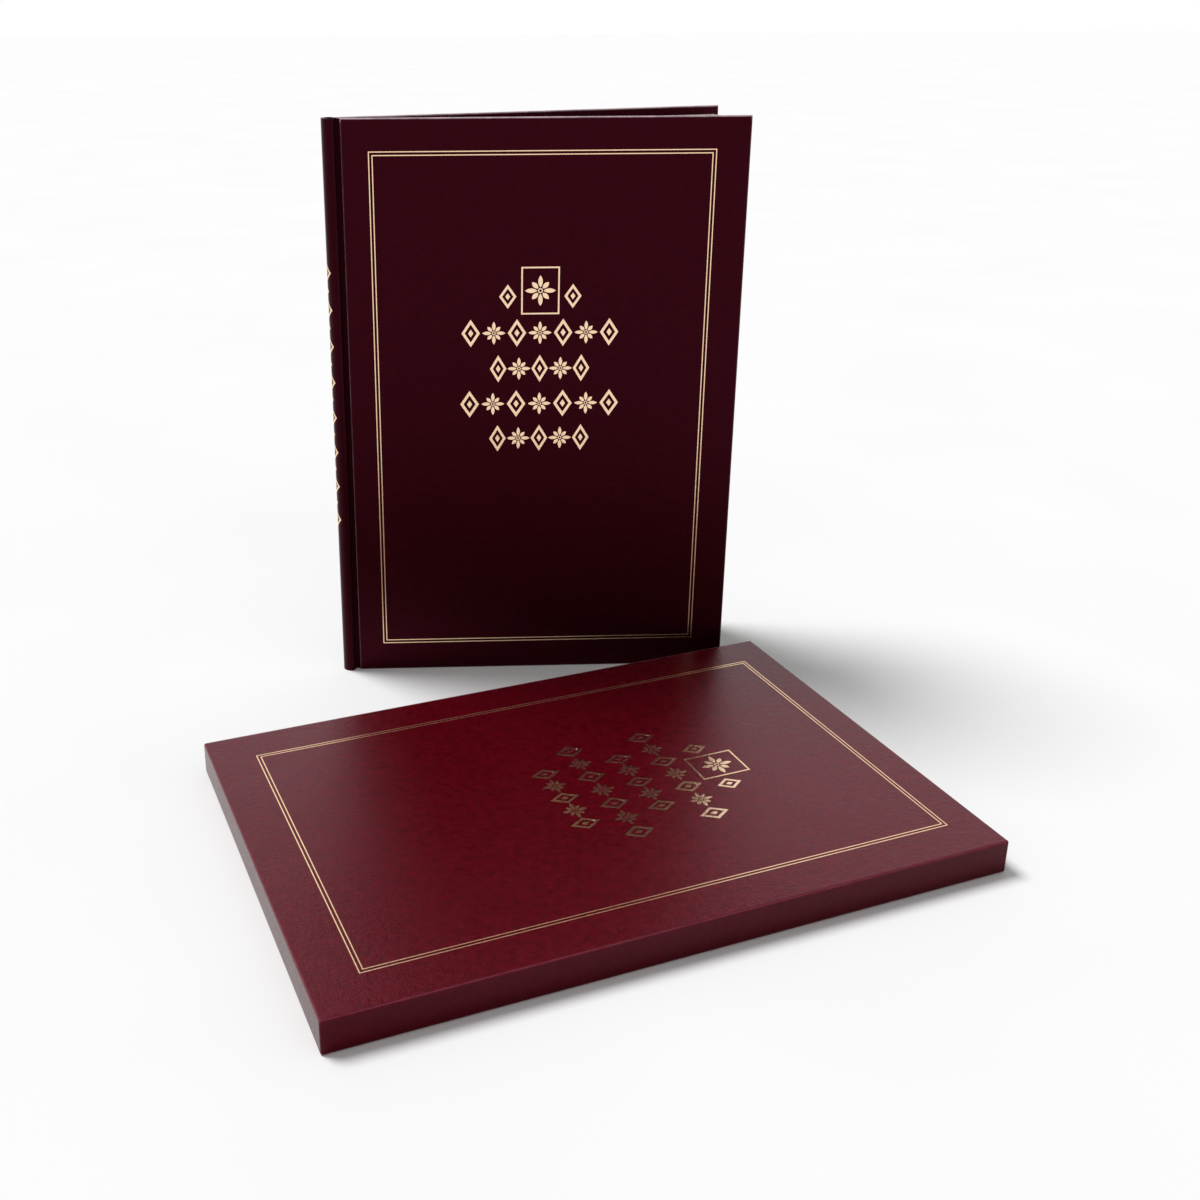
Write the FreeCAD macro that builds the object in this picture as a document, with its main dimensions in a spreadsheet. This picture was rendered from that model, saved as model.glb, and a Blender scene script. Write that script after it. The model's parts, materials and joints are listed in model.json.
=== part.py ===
import math
import os
import re

import FreeCAD
import Part

# A case-bound stamp album standing a little open, with its slipcase lying in front of it.
# The origin is the middle of the front cover's tail edge, on the floor.
# X runs along the front cover from the spine to the fore edge, Y runs from front to back.

os.makedirs("parts", exist_ok=True)
doc = FreeCAD.newDocument("stamp_album")
sheet = doc.addObject("Spreadsheet::Sheet", "Sizes")

# Driving sizes in millimetres and degrees.
DRIVING = [
    ("case_height", 305.0, "height of a cover over its cloth"),
    ("board_width", 205.9, "cover board from hinge edge to fore edge"),
    ("board_thickness", 1.5, "cover board"),
    ("cloth_thickness", 0.25, "leatherette"),
    ("cloth_turn_in", 15.0, "leatherette folded over onto the inside of a cover"),
    ("cover_edge_radius", 0.5, "rounding of the covered edges"),
    ("mitre_slit", 0.12, "open seam where two turn-ins meet"),
    ("pastedown_thickness", 0.1, "paper glued to the inside of a cover"),
    ("pastedown_margin", 5.5, "turn-in left bare around the pastedown"),
    ("joint_margin", 0.5, "pastedown kept back from the hinge edge"),
    ("block_clearance", 0.165, "air between the leaves and a closed cover"),
    ("groove_width", 2.9, "joint groove from board edge to spine shoulder"),
    ("hinge_offset", 1.5, "board edge to hinge line"),
    ("hinge_gap", 0.03, "half the break in the leatherette at a hinge line"),
    ("shoulder_proud", 0.8, "spine shoulder above the face of a cover"),
    ("shoulder_radius", 2.6, "outer radius of a spine shoulder"),
    ("shoulder_angle", 100.0, "turn of a spine shoulder"),
    ("strip_angle", 120.0, "arc of the card strip inside the spine"),
    ("strip_thickness", 0.5, "card strip inside the spine"),
    ("spine_turn_in", 12.0, "leatherette folded over the ends of the card strip"),
    ("page_height", 297.0, "leaf height"),
    ("page_square", 4.0, "cover standing past the leaves at the fore edge"),
    ("leaf_thickness", 0.13, "album leaf"),
    ("leaf_pitch", 0.26, "leaf and its guard at the sewn edge"),
    ("stub_depth", 6.8, "sewn edge behind the board's hinge edge"),
    ("crease_start", 1.3, "crease of a flyleaf behind the board's hinge edge"),
    ("crease_shift", 0.2, "shift of the crease from one leaf to the next"),
    ("crease_gap", 0.1, "half the break between a leaf and its stub"),
    ("lining_thickness", 0.3, "lining glued to the sewn edge"),
    ("lining_margin", 3.5, "leaf standing past the lining at head and tail"),
    ("band_tape", 0.25, "tape of a head band"),
    ("band_height", 14.0, "tape of a head band"),
    ("band_radius", 0.6, "bead of a head band"),
    ("thread_diameter", 0.35, "sewing thread"),
    ("stitch_line", 5.2, "stitches behind the board's hinge edge"),
    ("stitch_length", 84.0, "distance between two stitches"),
    ("slit_width", 0.5, "slit that a stitch passes through"),
    ("slit_height", 0.9, "slit that a stitch passes through"),
    ("front_opening", 9.5, "front cover away from the leaves at rest"),
    ("back_opening", 4.5, "back cover away from the leaves at rest"),
    ("fan_share", 0.72, "part of the opening that the flyleaves follow"),
    ("film_thickness", 0.04, "clear film of a stamp mount"),
    ("stamp_thickness", 0.08, "stamp"),
    ("pocket_clearance", 0.005, "air on each side of a stamp in its mount"),
    ("mount_fold", 0.3, "fold along the foot of a mount"),
    ("mount_lip", 2.5, "mount standing past the stamps"),
    ("stamp_gap", 4.0, "space between two stamps of a row"),
    ("page_shift", 8.0, "middle of a row past the middle of a cover"),
    ("definitive_short", 24.0, "short side of a definitive stamp"),
    ("definitive_long", 30.0, "long side of a definitive stamp"),
    ("small_short", 26.0, "short side of a small picture stamp"),
    ("small_long", 32.0, "long side of a small picture stamp"),
    ("medium_short", 28.0, "short side of a middling picture stamp"),
    ("medium_long", 36.0, "long side of a middling picture stamp"),
    ("large_short", 30.0, "short side of a large picture stamp"),
    ("large_long", 40.0, "long side of a large picture stamp"),
    ("pane_short", 46.0, "short side of a small pane"),
    ("pane_long", 64.0, "long side of a small pane"),
    ("sheet_short", 52.0, "short side of a miniature sheet"),
    ("sheet_long", 72.0, "long side of a miniature sheet"),
    ("slip_length", 312.6, "slipcase from tail to head"),
    ("slip_depth", 215.3, "slipcase from closed wall to mouth"),
    ("slip_height", 16.1, "slipcase across its two panels"),
    ("slip_board", 1.7, "slipcase board"),
    ("slip_edge_radius", 1.0, "rounding of the covered slipcase edges"),
    ("slip_turn_in", 12.0, "leatherette folded into the mouth"),
    ("slip_lining", 0.1, "paper inside the slipcase"),
    ("slip_angle", 19.24, "slipcase turned from the front cover"),
    ("slip_along", -1.6, "slipcase corner along the front cover from its hinge edge"),
    ("slip_ahead", 312.15, "slipcase corner ahead of the front cover's face"),
    ("rule_width", 0.5, "line of a foil border"),
    ("rule_pitch", 1.75, "outer line to inner line of a foil border"),
    ("foil_thickness", 0.03, "blocked foil"),
    ("rule_hinge_inset", 13.3, "cover border from the hinge edge"),
    ("rule_fore_inset", 16.8, "cover border from the fore edge"),
    ("rule_end_inset", 16.2, "cover border from head and tail"),
    ("slip_rule_tail", 21.4, "slipcase border from the tail wall"),
    ("slip_rule_head", 17.1, "slipcase border from the head wall"),
    ("slip_rule_wall", 20.2, "slipcase border from the closed wall"),
    ("slip_rule_mouth", 20.9, "slipcase border from the mouth"),
]

# Sizes that follow from the driving ones.
LEAF_TOTAL = 10
DERIVED = [
    ("cover_thickness", "board_thickness + 2 * cloth_thickness", "covered board"),
    ("block_half", "%g * leaf_pitch + leaf_thickness / 2" % ((LEAF_TOTAL - 1) / 2), "half the sewn edge"),
    ("cover_inside", "block_half + block_clearance + pastedown_thickness", "middle plane to a cover"),
    ("case_half", "cover_inside + cover_thickness", "half the case at the joint"),
    ("cover_middle", "cover_inside + cover_thickness / 2", "middle plane to the middle of a cover"),
    ("hinge_level", "cover_inside + cloth_thickness", "middle plane to a hinge line"),
    ("shoulder_level", "case_half + shoulder_proud - shoulder_radius", "centre of a shoulder"),
    ("round_step", "shoulder_level / sin(shoulder_angle * 1 deg)", "centre to centre"),
    ("round_radius", "shoulder_radius + round_step", "outer radius of the spine"),
    ("shoulder_along", "-groove_width - shoulder_radius", "centre of a shoulder"),
    ("round_along", "shoulder_along - round_step * cos(shoulder_angle * 1 deg)", "centre of the round"),
    ("strip_outer", "round_radius - cloth_thickness", "outer radius of the card strip"),
    ("strip_inner", "strip_outer - strip_thickness", "inner radius of the card strip"),
    ("page_foot", "(case_height - page_height) / 2", "foot of a leaf above the floor"),
    ("page_head", "page_foot + page_height", "head of a leaf above the floor"),
    ("lining_height", "page_height - 2 * lining_margin", "lining glued to the sewn edge"),
    ("guard_thickness", "leaf_pitch - leaf_thickness", "guard between two stubs"),
    ("pocket_thickness", "stamp_thickness + 2 * pocket_clearance", "space inside a mount"),
    ("mount_thickness", "pocket_thickness + 2 * film_thickness", "mount"),
    ("slip_wall", "cloth_thickness + slip_board", "covered slipcase board"),
]

row = 0
for name, value, note in DRIVING:
    row += 1
    sheet.set("A%d" % row, note)
    sheet.set("B%d" % row, repr(value))
    sheet.setAlias("B%d" % row, name)
for name, formula, note in DERIVED:
    row += 1
    sheet.set("A%d" % row, note)
    sheet.set("B%d" % row, "=" + formula)
    sheet.setAlias("B%d" % row, name)
doc.recompute()

NAMES = [entry[0] for entry in DRIVING + DERIVED]


def size(name):
    """The number in one named cell."""
    return float(sheet.get(name))


def bound(formula):
    """A formula over the named cells, written for an expression."""
    return re.sub(r"\b(%s)\b" % "|".join(NAMES), r"Sizes.\1", str(formula))


def block(length, width, height, x, y, z, name="Block"):
    """A rectangular block, all of whose sizes and place are formulas."""
    item = doc.addObject("Part::Box", name)
    item.setExpression("Length", bound(length))
    item.setExpression("Width", bound(width))
    item.setExpression("Height", bound(height))
    item.setExpression("Placement.Base.x", bound(x))
    item.setExpression("Placement.Base.y", bound(y))
    item.setExpression("Placement.Base.z", bound(z))
    return item


def sector(outer, inner, height, x, y, z, first, last):
    """A ring sector about a vertical axis, from one bearing to another."""
    rings = []
    for radius in (outer, inner):
        item = doc.addObject("Part::Cylinder", "Sector")
        item.setExpression("Radius", bound(radius))
        item.setExpression("Height", bound(height))
        item.Angle = last - first
        item.Placement.Rotation = FreeCAD.Rotation(FreeCAD.Vector(0, 0, 1), first)
        item.setExpression("Placement.Base.x", bound(x))
        item.setExpression("Placement.Base.y", bound(y))
        item.setExpression("Placement.Base.z", bound(z))
        rings.append(item)
    return cut(rings[0], rings[1])


def rod(radius, height, x, y, z, axis):
    """A round rod along one axis, from its given end."""
    item = doc.addObject("Part::Cylinder", "Rod")
    item.setExpression("Radius", bound(radius))
    item.setExpression("Height", bound(height))
    item.Placement.Rotation = FreeCAD.Rotation(FreeCAD.Vector(0, 0, 1), axis)
    item.setExpression("Placement.Base.x", bound(x))
    item.setExpression("Placement.Base.y", bound(y))
    item.setExpression("Placement.Base.z", bound(z))
    return item


def cut(base, tool):
    item = doc.addObject("Part::Cut", "Cut")
    item.Base = base
    item.Tool = tool
    return item


def common(first, second):
    item = doc.addObject("Part::Common", "Common")
    item.Base = first
    item.Tool = second
    return item


def fused(*parts):
    item = doc.addObject("Part::MultiFuse", "Fuse")
    item.Shapes = list(parts)
    return item


def group(*parts):
    item = doc.addObject("Part::Compound", "Group")
    item.Links = list(parts)
    return item


def rounded(base, radius, chosen):
    """Round the edges of a block whose middle points the test picks."""
    doc.recompute()
    item = doc.addObject("Part::Fillet", "Rounded")
    item.Base = base
    edges = []
    for number, edge in enumerate(base.Shape.Edges, start=1):
        if chosen(edge.CenterOfMass):
            edges.append((number, radius, radius))
    item.Edges = edges
    return item


made = []


def node(name, pose, *parts):
    """Give the finished solids of one piece its name and its place."""
    item = doc.addObject("Part::Compound", name)
    item.Label = name
    item.Links = list(parts)
    item.Placement = pose
    made.append(item)


def shifted(x, y, z):
    return FreeCAD.Placement(FreeCAD.Vector(x, y, z), FreeCAD.Rotation())


def turned(angle, x, y):
    """A turn about the vertical line through one point."""
    axis = FreeCAD.Vector(0, 0, 1)
    return FreeCAD.Placement(FreeCAD.Vector(), FreeCAD.Rotation(axis, angle), FreeCAD.Vector(x, y, 0))


# Places. The covers, the spine and the leaves are each drawn as in the closed album.
# The album's own frame has its board hinge edges at x 0 and its middle plane at y 0.
half_width = size("board_width") / 2
hinge_along = -size("hinge_offset")
hinge_level = size("hinge_level")
closed_place = shifted(-half_width, size("cover_middle"), 0)
hinge_row_level = size("cover_middle") - hinge_level
front_turn = turned(size("front_opening"), hinge_along - half_width, hinge_row_level)
spine_place = front_turn.multiply(closed_place)
back_turn = turned(size("back_opening"), hinge_along, hinge_level)
flip_rotation = FreeCAD.Rotation(FreeCAD.Vector(1, 0, 0), 180)
flip = FreeCAD.Placement(FreeCAD.Vector(0, size("cover_middle"), size("case_height")), flip_rotation)
front_place = shifted(-half_width, 0, 0)
back_place = spine_place.multiply(back_turn).multiply(flip)


def cover(side, place):
    """One cover: its board, the leatherette wrapped round it and the paper inside."""
    near = 1e-6

    def wrapped(point):
        # every edge except the inner hinge edge, where the leatherette runs on into the groove
        return not (point.y > 0.01 and point.x < 0.01 and abs(point.z - size("case_height") / 2) < near)

    outside = block(
        "board_width + 2 * cloth_thickness", "cover_thickness", "case_height",
        "-cloth_thickness", "-cover_thickness / 2", "0")
    outside = rounded(outside, size("cover_edge_radius"), wrapped)
    board = block(
        "board_width", "board_thickness", "case_height - 2 * cloth_thickness",
        "0", "-board_thickness / 2", "cloth_thickness")
    joint_strip = block(
        "hinge_offset - hinge_gap - cloth_thickness / 2", "cloth_thickness", "case_height",
        "-hinge_offset + hinge_gap", "board_thickness / 2", "0")
    window = block(
        "board_width - cloth_turn_in", "2 * cloth_thickness", "case_height - 2 * cloth_turn_in",
        "0", "board_thickness / 2", "cloth_turn_in")
    hollow = [board, window]
    # a mitre seam runs from inside the window along the diagonal of each fore-edge corner
    along = "board_width - cloth_turn_in"
    diagonal = "mitre_slit * cos(45 deg)"
    for angle, x, z in (
            (-45, "%s - 3.5 * %s", "case_height - cloth_turn_in - 4.5 * %s"),
            (45, "%s - 4.5 * %s", "cloth_turn_in + 3.5 * %s")):
        slit = block(
            "cloth_turn_in * 1.3", "2 * cloth_thickness", "mitre_slit",
            x % (along, diagonal), "board_thickness / 2", z % diagonal)
        slit.Placement.Rotation = FreeCAD.Rotation(FreeCAD.Vector(0, 1, 0), angle)
        hollow.append(slit)
    cloth = cut(fused(outside, joint_strip), fused(*hollow))
    plug = block(
        "board_width - cloth_turn_in - joint_margin", "cloth_thickness", "case_height - 2 * cloth_turn_in",
        "joint_margin", "board_thickness / 2", "cloth_turn_in")
    paper = block(
        "board_width - pastedown_margin - joint_margin", "pastedown_thickness",
        "case_height - 2 * pastedown_margin",
        "joint_margin", "cover_thickness / 2", "pastedown_margin")
    node(side + "_board", place, board)
    node(side + "_cover_cloth", place, cloth)
    node(side + "_pastedown", place, fused(plug, paper))


cover("front", front_place)
cover("back", back_place)


def frame(length, height, x, z, level):
    """Two foil rules round a rectangle that faces forward."""
    rules = []
    for inset in ("0", "rule_pitch"):
        outer = block(
            "%s - 2 * (%s)" % (length, inset), "foil_thickness", "%s - 2 * (%s)" % (height, inset),
            "%s + %s" % (x, inset), level, "%s + %s" % (z, inset))
        inner = block(
            "%s - 2 * (%s + rule_width)" % (length, inset), "3 * foil_thickness",
            "%s - 2 * (%s + rule_width)" % (height, inset),
            "%s + %s + rule_width" % (x, inset), "%s - foil_thickness" % level,
            "%s + %s + rule_width" % (z, inset))
        rules.append(cut(outer, inner))
    return rules


front_rules = frame(
    "(board_width - rule_hinge_inset - rule_fore_inset)", "(case_height - 2 * rule_end_inset)",
    "rule_hinge_inset", "rule_end_inset", "-cover_thickness / 2 - foil_thickness")
node("front_foil", front_place, *front_rules)

# Spine: a rounded leatherette back between the two joint grooves, over a card strip.
turn = size("shoulder_angle")
spine_skin = [sector(
    "round_radius", "strip_outer", "case_height", "round_along", "0", "0", turn, 360 - turn)]
shoulder_inner = "shoulder_radius - cloth_thickness"
spine_skin.append(sector(
    "shoulder_radius", shoulder_inner, "case_height",
    "shoulder_along", "-shoulder_level", "0", 360 - turn, 360))
spine_skin.append(sector(
    "shoulder_radius", shoulder_inner, "case_height",
    "shoulder_along", "shoulder_level", "0", 0, turn))
wall_length = "shoulder_level - cover_inside"
floor_length = "groove_width + cloth_thickness - hinge_offset - hinge_gap"
wall_along = "-groove_width - cloth_thickness"
spine_skin.append(block(
    "cloth_thickness", wall_length, "case_height", wall_along, "-shoulder_level", "0"))
spine_skin.append(block(
    "cloth_thickness", wall_length, "case_height", wall_along, "cover_inside", "0"))
spine_skin.append(block(
    floor_length, "cloth_thickness", "case_height",
    wall_along, "-cover_inside - cloth_thickness", "0"))
spine_skin.append(block(
    floor_length, "cloth_thickness", "case_height", wall_along, "cover_inside", "0"))
strip_first = 180 - size("strip_angle") / 2
strip_last = 180 + size("strip_angle") / 2
fold_inner = "strip_inner - cloth_thickness"
for cap_level, fold_level in (
        ("0", "0"), ("case_height - cloth_thickness", "case_height - spine_turn_in")):
    spine_skin.append(sector(
        "strip_outer + cloth_thickness / 2", fold_inner, "cloth_thickness",
        "round_along", "0", cap_level, strip_first, strip_last))
    spine_skin.append(sector(
        "strip_inner", fold_inner, "spine_turn_in",
        "round_along", "0", fold_level, strip_first, strip_last))
node("spine_cloth", spine_place, fused(*spine_skin))
spine_strip = sector(
    "strip_outer", "strip_inner", "case_height - 2 * cloth_thickness",
    "round_along", "0", "cloth_thickness", strip_first, strip_last)
node("spine_strip", spine_place, spine_strip)

# Sewn edge: a stub for each leaf, a guard between each two stubs, and one running thread.
half_count = LEAF_TOTAL // 2


def crease(number):
    """Crease of one leaf, counted from the front, along the album."""
    step = min(number, LEAF_TOTAL - 1 - number)
    return "(-crease_start + %d * crease_shift)" % step


def level(number):
    """Middle of one leaf, counted from the front, across the album."""
    return "(%g * leaf_pitch)" % (number - (LEAF_TOTAL - 1) / 2)


slits = []
stitch_heights = []
stitch_count = 4
for number in range(stitch_count):
    height = "(case_height / 2 + %g * stitch_length)" % (number - (stitch_count - 1) / 2)
    stitch_heights.append(height)
    slits.append(block(
        "slit_width", "4 * block_half", "slit_height",
        "-stitch_line - slit_width / 2", "-2 * block_half", "%s - slit_height / 2" % height))
stubs = []
guards = []
for number in range(LEAF_TOTAL):
    stubs.append(block(
        "stub_depth + %s - crease_gap" % crease(number), "leaf_thickness", "page_height",
        "-stub_depth", "%s - leaf_thickness / 2" % level(number), "page_foot"))
for number in range(LEAF_TOTAL - 1):
    guards.append(block(
        "stub_depth - crease_start - crease_gap", "guard_thickness", "page_height",
        "-stub_depth", "%s + leaf_thickness / 2" % level(number), "page_foot"))
node("leaf_stubs", spine_place, cut(group(*stubs), fused(*slits)))
node("guard_strips", spine_place, cut(group(*guards), fused(*slits)))
lining = block(
    "lining_thickness", "2 * block_half", "lining_height",
    "-stub_depth - lining_thickness", "-block_half", "(case_height - lining_height) / 2")
node("spine_lining", spine_place, lining)
thread = []
thread_level = "(block_half + thread_diameter / 2)"
for number, height in enumerate(stitch_heights):
    thread.append(rod(
        "thread_diameter / 2", "2 * block_half + thread_diameter",
        "-stitch_line", "block_half + thread_diameter / 2", height, 0))
    thread[-1].Placement.Rotation = FreeCAD.Rotation(FreeCAD.Vector(1, 0, 0), 90)
    if number + 1 < stitch_count:
        sign = "-" if number % 2 == 0 else ""
        thread.append(rod(
            "thread_diameter / 2", "stitch_length + thread_diameter",
            "-stitch_line", sign + thread_level, "%s - thread_diameter / 2" % height, 0))
node("sewing_thread", spine_place, fused(*thread))
band_along = "-stub_depth - lining_thickness - band_tape"
for end, foot, bead in (
        ("head_band", "page_head + band_radius - band_height", "page_head + band_radius"),
        ("tail_band", "page_foot - band_radius", "page_foot - band_radius")):
    tape = block("band_tape", "2 * block_half", "band_height", band_along, "-block_half", foot)
    roll = rod(
        "band_radius", "2 * block_half", band_along + " + band_radius", "block_half", bead, 0)
    roll.Placement.Rotation = FreeCAD.Rotation(FreeCAD.Vector(1, 0, 0), 90)
    node(end, spine_place, fused(tape, roll))

# Leaves, fanned between the covers. Each is drawn with its crease at x 0 and y 0.
# Rows of one page: middle height as a share of the page, stamp width, stamp height, count.
LAYOUTS = [
    [(0.68, "small_long", "small_short", 3), (0.40, "small_short", "small_long", 4)],
    [(0.72, "small_short", "small_long", 4), (0.50, "small_short", "small_long", 4),
     (0.26, "large_long", "large_short", 2)],
    [(0.62, "sheet_long", "sheet_short", 1), (0.30, "small_long", "small_short", 4)],
    [(0.74, "definitive_short", "definitive_long", 5), (0.52, "definitive_short", "definitive_long", 5),
     (0.30, "definitive_short", "definitive_long", 5)],
    [(0.66, "large_long", "large_short", 3), (0.36, "large_short", "large_long", 3)],
    [(0.70, "small_long", "small_short", 4), (0.50, "small_long", "small_short", 4),
     (0.28, "small_long", "small_short", 2)],
    [(0.64, "large_short", "large_long", 4), (0.32, "pane_long", "pane_short", 1)],
    [(0.72, "medium_long", "medium_short", 3), (0.48, "medium_short", "medium_long", 3),
     (0.24, "medium_long", "medium_short", 3)],
]


def leaf_place(number):
    """Place of one leaf at rest, counted from the front."""
    spread = 1 - number * 2 / (LEAF_TOTAL - 1)
    share = size("fan_share") * spread
    opening = size("front_opening") if share > 0 else size("back_opening")
    along = -size("crease_start") + min(number, LEAF_TOTAL - 1 - number) * size("crease_shift")
    across = (number - (LEAF_TOTAL - 1) / 2) * size("leaf_pitch")
    fan = turned(-share * opening, along, across)
    return spine_place.multiply(fan).multiply(shifted(along, across, 0))


def leaf(name, number):
    sheet_block = block(
        "board_width - page_square - %s - crease_gap" % crease(number), "leaf_thickness", "page_height",
        "crease_gap", "-leaf_thickness / 2", "page_foot")
    node(name, leaf_place(number), sheet_block)


def page_contents(number, layout):
    """The mounts on the face of one leaf and the stamps inside them."""
    mounts = []
    stamps = []
    face = "-leaf_thickness / 2"
    for share, wide, tall, count in layout:
        strip = "(%d * %s + %d * stamp_gap)" % (count, wide, count - 1)
        start = "(board_width / 2 + page_shift - %s / 2)" % strip
        foot = "(page_foot + %g * page_height - %s / 2)" % (share, tall)
        outside = block(
            "%s + 2 * mount_lip" % strip, "mount_thickness", "%s + mount_lip + mount_fold" % tall,
            "%s - mount_lip" % start, face + " - mount_thickness", "%s - mount_fold" % foot)
        inside = block(
            "%s + 4 * mount_lip" % strip, "pocket_thickness", "%s + 2 * mount_lip" % tall,
            "%s - 2 * mount_lip" % start, face + " - mount_thickness + film_thickness", foot)
        mounts.append(cut(outside, inside))
        for place in range(count):
            stamps.append(block(
                wide, "stamp_thickness", tall, "%s + %d * (%s + stamp_gap)" % (start, place, wide),
                face + " - film_thickness - pocket_clearance - stamp_thickness", foot))
    node("mounts_%d" % number, leaf_place(number), *mounts)
    node("stamps_%d" % number, leaf_place(number), *stamps)


leaf("front_flyleaf", 0)
for number, layout in enumerate(LAYOUTS, start=1):
    leaf("leaf_%d" % number, number)
    page_contents(number, layout)
leaf("back_flyleaf", LEAF_TOTAL - 1)

# Slipcase: five boards, leatherette outside, paper inside. Its mouth is at the far long side.
slip_turn = FreeCAD.Rotation(FreeCAD.Vector(0, 0, 1), size("slip_angle"))
slip_corner = FreeCAD.Vector(
    size("slip_along") - half_width, -size("slip_ahead") - size("cover_thickness") / 2, 0)
slip_place = FreeCAD.Placement(slip_corner, slip_turn)


def closed_edge(point):
    # every edge except those round the mouth
    return point.y < size("slip_depth") - 1


slip_outside = rounded(
    block("slip_length", "slip_depth", "slip_height", "0", "0", "0"),
    size("slip_edge_radius"), closed_edge)
slip_boards = rounded(
    block(
        "slip_length - 2 * cloth_thickness", "slip_depth - 2 * cloth_thickness",
        "slip_height - 2 * cloth_thickness", "cloth_thickness", "cloth_thickness", "cloth_thickness"),
    size("slip_edge_radius") - size("cloth_thickness"), closed_edge)
slip_space = block(
    "slip_length - 2 * slip_wall", "slip_depth", "slip_height - 2 * slip_wall",
    "slip_wall", "slip_wall", "slip_wall")
room = "slip_height - 2 * slip_wall"
panel_boards = (("slipcase_base_board", "0"), ("slipcase_top_board", "slip_height - slip_wall"))
for name, foot in panel_boards:
    slab = block("slip_length", "slip_depth", "slip_wall", "0", "0", foot)
    node(name, slip_place, common(slip_boards, slab))
slab = block("slip_length", "slip_wall", room, "0", "0", "slip_wall")
node("slipcase_wall_board", slip_place, common(slip_boards, slab))
end_boards = (("slipcase_tail_board", "0"), ("slipcase_head_board", "slip_length - slip_wall"))
for name, along in end_boards:
    slab = block("slip_wall", "slip_depth", room, along, "slip_wall", "slip_wall")
    node(name, slip_place, common(slip_boards, slab))

slip_skin = cut(slip_outside, fused(slip_boards, slip_space))
mouth = "slip_depth - cloth_thickness"
fold_along = "slip_depth - cloth_thickness - slip_turn_in"
fold_depth = "slip_turn_in + cloth_thickness"
inner_length = "slip_length - 2 * slip_wall"
top_region = fused(
    block("slip_length", "slip_depth", "slip_edge_radius", "0", "0", "slip_height - slip_edge_radius"),
    block("slip_length", "cloth_thickness", "slip_wall", "0", mouth, "slip_height - slip_wall"))
base_region = fused(
    block("slip_length", "slip_depth", "slip_edge_radius", "0", "0", "0"),
    block("slip_length", "cloth_thickness", "slip_wall", "0", mouth, "0"))
top_fold = block(
    inner_length, fold_depth, "cloth_thickness",
    "slip_wall", fold_along, "slip_height - slip_wall - cloth_thickness")
base_fold = block(inner_length, fold_depth, "cloth_thickness", "slip_wall", fold_along, "slip_wall")
node("slipcase_top_cloth", slip_place, fused(common(slip_skin, top_region), top_fold))
node("slipcase_base_cloth", slip_place, fused(common(slip_skin, base_region), base_fold))
fold_room = "slip_height - 2 * slip_wall - 2 * cloth_thickness"
end_folds = []
for along in ("slip_wall", "slip_length - slip_wall - cloth_thickness"):
    end_folds.append(block(
        "cloth_thickness", fold_depth, fold_room, along, fold_along, "slip_wall + cloth_thickness"))
wall_skin = cut(slip_skin, fused(top_region, base_region))
node("slipcase_wall_cloth", slip_place, fused(wall_skin, *end_folds))

lining_depth = "slip_depth - cloth_thickness - slip_turn_in - slip_wall"
for name, foot in (
        ("slipcase_base_lining", "slip_wall"),
        ("slipcase_top_lining", "slip_height - slip_wall - slip_lining")):
    paper = block(inner_length, lining_depth, "slip_lining", "slip_wall", "slip_wall", foot)
    node(name, slip_place, paper)
lining_room = "slip_height - 2 * slip_wall - 2 * slip_lining"
lining_foot = "slip_wall + slip_lining"
wall_lining = [
    block(inner_length, "slip_lining", lining_room, "slip_wall", "slip_wall", lining_foot),
    block("slip_lining", lining_depth, lining_room, "slip_wall", "slip_wall", lining_foot),
    block(
        "slip_lining", lining_depth, lining_room,
        "slip_length - slip_wall - slip_lining", "slip_wall", lining_foot),
]
node("slipcase_wall_lining", slip_place, fused(*wall_lining))
slip_rules = []
for inset in ("0", "rule_pitch"):
    rule_length = "slip_length - slip_rule_tail - slip_rule_head - 2 * (%s" % inset
    rule_depth = "slip_depth - slip_rule_wall - slip_rule_mouth - 2 * (%s" % inset
    outer = block(
        rule_length + ")", rule_depth + ")", "foil_thickness",
        "slip_rule_tail + %s" % inset, "slip_rule_wall + %s" % inset, "slip_height")
    inner = block(
        rule_length + " + rule_width)", rule_depth + " + rule_width)", "3 * foil_thickness",
        "slip_rule_tail + %s + rule_width" % inset, "slip_rule_wall + %s + rule_width" % inset,
        "slip_height - foil_thickness")
    slip_rules.append(cut(outer, inner))
node("slipcase_foil", slip_place, *slip_rules)

doc.recompute()

# Nothing is exported unless every object is sound.
for item in doc.Objects:
    if "Invalid" in item.State or "Error" in item.State:
        raise RuntimeError("%s did not rebuild" % item.Name)
for item in made:
    shape = item.Shape
    if shape.isNull() or not shape.isValid() or not shape.Solids:
        raise RuntimeError("%s has no sound solid" % item.Label)
    shape.exportStep("parts/%s.step" % item.Label)
    print("%-22s solids %2d volume %10.2f" % (item.Label, len(shape.Solids), shape.Volume))
print("pieces", len(made))
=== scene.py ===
import json
import math

import bmesh
import bpy
from mathutils import Matrix, Vector


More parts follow.
